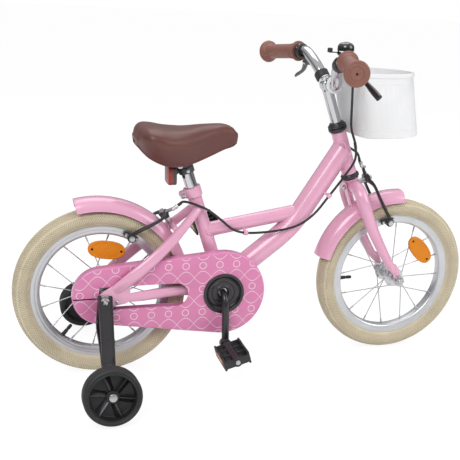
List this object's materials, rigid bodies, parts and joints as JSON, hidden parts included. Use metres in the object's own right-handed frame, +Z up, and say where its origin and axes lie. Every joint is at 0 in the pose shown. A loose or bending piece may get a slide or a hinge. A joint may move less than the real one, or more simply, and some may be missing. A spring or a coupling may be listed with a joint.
{
  "type": "children's bicycle",
  "caption": "Children's bicycle with training wheels, front basket, bell, caliper brakes, mudguards and a closed chain case.",
  "frame": {"origin": "on the ground midway between the two wheel axles", "axes": "+X forward, +Y towards the far side (the bicycle's left), +Z up"},
  "size_m": [0.991, 0.5378, 0.6749],
  "materials": {
    "pink_paint": "gloss",
    "chain_case_pink": "gloss",
    "cream_rubber": "matte ribbed",
    "black_rubber": "matte",
    "silver_alloy": "satin",
    "zinc_steel": "zinc plated",
    "chrome": "polished",
    "black_paint": "satin",
    "black_resin": "moulded",
    "black_pressed_steel": "satin",
    "brown_cover": "soft grained",
    "white_plastic": "satin",
    "amber_lens": "prismatic",
    "red_lens": "prismatic",
    "black_bell": "gloss",
    "black_cable": "satin"
  },
  "bodies": {
    "frame": {"main_frame": "pink_paint", "headset_upper_cup": "black_paint", "headset_lower_cup": "black_paint", "bottom_bracket_cup_right": "black_paint", "bottom_bracket_cup_left": "black_paint", "seat_collar": "pink_paint", "rear_mudguard": "pink_paint", "chain_case_cover": "chain_case_pink", "chain_case_back": "chain_case_pink", "chain_case_cap": "black_paint", "chain": "zinc_steel", "training_bracket_right": "black_paint", "training_bracket_left": "black_paint", "rear_axle": "zinc_steel", "rear_brake_cable": "black_cable", "rear_brake_bolt": "zinc_steel"},
    "seat": {"seat_post": "chrome", "saddle_clamp": "black_paint", "saddle_base": "black_paint", "saddle_cushion": "brown_cover", "rear_reflector": "red_lens"},
    "rear_wheel": {"rear_tyre": "cream_rubber", "rear_inner_tube": "black_rubber", "rear_rim": "silver_alloy", "rear_hub": "silver_alloy", "rear_wheel_reflector": "amber_lens"},
    "sprocket": {"rear_sprocket": "zinc_steel"},
    "crank": {"crank": "black_paint", "chainring": "zinc_steel"},
    "pedal_right": {"pedal_right": "black_resin"},
    "pedal_left": {"pedal_left": "black_resin"},
    "fork": {"fork": "pink_paint", "front_mudguard": "pink_paint", "front_axle": "zinc_steel", "headset_locknut": "black_paint", "front_brake_bolt": "zinc_steel"},
    "front_wheel": {"front_tyre": "cream_rubber", "front_inner_tube": "black_rubber", "front_rim": "silver_alloy", "front_hub": "silver_alloy", "front_wheel_reflector": "amber_lens"},
    "front_brake_arm_right": {"front_brake_arm_right": "black_pressed_steel"},
    "front_brake_arm_left": {"front_brake_arm_left": "black_pressed_steel"},
    "rear_brake_arm_right": {"rear_brake_arm_right": "black_pressed_steel"},
    "rear_brake_arm_left": {"rear_brake_arm_left": "black_pressed_steel"},
    "handlebar": {"stem": "chrome", "handlebar": "chrome", "grip_right": "brown_cover", "grip_left": "brown_cover", "lever_bracket_right": "black_paint", "lever_bracket_left": "black_paint", "bell_base": "black_paint", "bell_dome": "black_bell", "basket": "white_plastic", "front_brake_cable": "black_cable"},
    "brake_lever_right": {"brake_lever_right": "black_paint"},
    "brake_lever_left": {"brake_lever_left": "black_paint"},
    "bell_lever": {"bell_lever": "black_paint"},
    "training_wheel_right": {"training_wheel_right": "black_resin"},
    "training_wheel_left": {"training_wheel_left": "black_resin"}
  },
  "joints": [
    {"name": "steering", "type": "hinge", "parent": "frame", "child": "fork", "pos_m": [0.20479, 0, 0.40578], "axis": [-0.342, 0, 0.9397], "range_deg": [-60, 60], "deforming": ["rear_brake_cable"]},
    {"name": "stem_height", "type": "slide", "parent": "fork", "child": "handlebar", "axis": [-0.342, 0, 0.9397], "range_m": [-0.03, 0.02], "deforming": ["front_brake_cable"]},
    {"name": "seat_height", "type": "slide", "parent": "frame", "child": "seat", "axis": [-0.309, 0, 0.9511], "range_m": [-0.012, 0.05]},
    {"name": "front_wheel_spin", "type": "hinge", "parent": "fork", "child": "front_wheel", "pos_m": [0.3225, 0, 0.173], "axis": [0, 1, 0], "continuous": true},
    {"name": "rear_wheel_spin", "type": "hinge", "parent": "frame", "child": "rear_wheel", "pos_m": [-0.3225, 0, 0.173], "axis": [0, 1, 0], "continuous": true},
    {"name": "crank_spin", "type": "hinge", "parent": "frame", "child": "crank", "pos_m": [-0.078, 0, 0.17], "axis": [0, 1, 0], "continuous": true},
    {"name": "sprocket_spin", "type": "hinge", "parent": "frame", "child": "sprocket", "pos_m": [-0.3225, 0, 0.173], "axis": [0, 1, 0], "continuous": true},
    {"name": "pedal_right_spin", "type": "hinge", "parent": "crank", "child": "pedal_right", "pos_m": [-0.078, -0.1335, 0.068], "axis": [0, 1, 0], "continuous": true},
    {"name": "pedal_left_spin", "type": "hinge", "parent": "crank", "child": "pedal_left", "pos_m": [-0.078, 0.1335, 0.272], "axis": [0, 1, 0], "continuous": true},
    {"name": "front_brake_right", "type": "hinge", "parent": "fork", "child": "front_brake_arm_right", "pos_m": [0.24221, 0, 0.39067], "axis": [0.9397, 0, 0.342], "range_deg": [0, 1.5]},
    {"name": "front_brake_left", "type": "hinge", "parent": "fork", "child": "front_brake_arm_left", "pos_m": [0.24221, 0, 0.39067], "axis": [-0.9397, 0, -0.342], "range_deg": [0, 1.5]},
    {"name": "rear_brake_right", "type": "hinge", "parent": "frame", "child": "rear_brake_arm_right", "pos_m": [-0.19024, 0, 0.32471], "axis": [0.6, 0, -0.8], "range_deg": [0, 1.7]},
    {"name": "rear_brake_left", "type": "hinge", "parent": "frame", "child": "rear_brake_arm_left", "pos_m": [-0.19024, 0, 0.32471], "axis": [-0.6, 0, 0.8], "range_deg": [0, 1.7]},
    {"name": "right_lever_pull", "type": "hinge", "parent": "handlebar", "child": "brake_lever_right", "pos_m": [0.14403, -0.13755, 0.62357], "axis": [-0.6468, 0.2371, -0.7248], "range_deg": [0, 20], "stiffness_Nm_per_rad": 0.6, "springref_deg": -22.92},
    {"name": "left_lever_pull", "type": "hinge", "parent": "handlebar", "child": "brake_lever_left", "pos_m": [0.14307, 0.1372, 0.62255], "axis": [-0.6835, -0.2436, -0.6881], "range_deg": [0, 20], "stiffness_Nm_per_rad": 0.6, "springref_deg": -22.92},
    {"name": "bell_lever_push", "type": "hinge", "parent": "handlebar", "child": "bell_lever", "pos_m": [0.13092, -0.0695, 0.65374], "axis": [0, 0, 1], "range_deg": [0, 30], "stiffness_Nm_per_rad": 0.05, "springref_deg": -11.46},
    {"name": "training_wheel_right_spin", "type": "hinge", "parent": "frame", "child": "training_wheel_right", "pos_m": [-0.3345, -0.2435, 0.05613], "axis": [0, 0.9848, -0.1736], "continuous": true},
    {"name": "training_wheel_left_spin", "type": "hinge", "parent": "frame", "child": "training_wheel_left", "pos_m": [-0.3345, 0.2435, 0.05613], "axis": [0, 0.9848, 0.1736], "continuous": true}
  ],
  "couplings": [
    {"joint": "sprocket_spin", "follows": "crank_spin", "ratio": 1.75},
    {"joint": "front_brake_right", "follows": "left_lever_pull", "ratio": 0.074925},
    {"joint": "front_brake_left", "follows": "left_lever_pull", "ratio": 0.074925},
    {"joint": "rear_brake_right", "follows": "right_lever_pull", "ratio": 0.084915},
    {"joint": "rear_brake_left", "follows": "right_lever_pull", "ratio": 0.084915}
  ]
}
